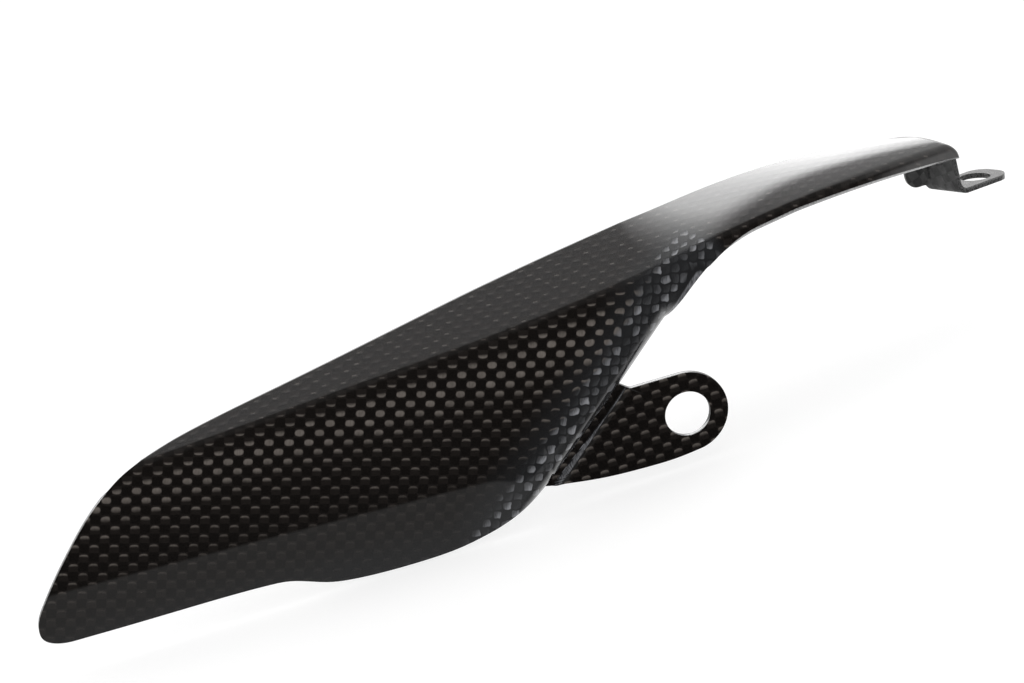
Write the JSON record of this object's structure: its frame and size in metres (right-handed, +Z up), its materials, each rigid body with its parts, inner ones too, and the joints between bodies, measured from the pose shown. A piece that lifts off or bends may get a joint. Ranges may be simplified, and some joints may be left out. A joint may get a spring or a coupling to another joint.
{
  "type": "motorcycle chain guard",
  "caption": "Long curved chain guard moulded in one piece from woven carbon fibre, with a top flange, a rolled front edge, a rear mounting ear and a stepped front tongue.",
  "frame": {"origin": "centre of the rear ear's hole, on the ear's outer face", "axes": "+X forward along the crease, towards the tongue; +Y inward, towards the wheel, along the ear's hole; +Z up"},
  "size_m": [0.2331, 0.0443, 0.0497],
  "materials": {
    "carbon": "clear-coated plain-weave carbon fibre, high gloss outside, rougher inside"
  },
  "bodies": {
    "root": {"chain_guard": "carbon"}
  },
  "joints": []
}
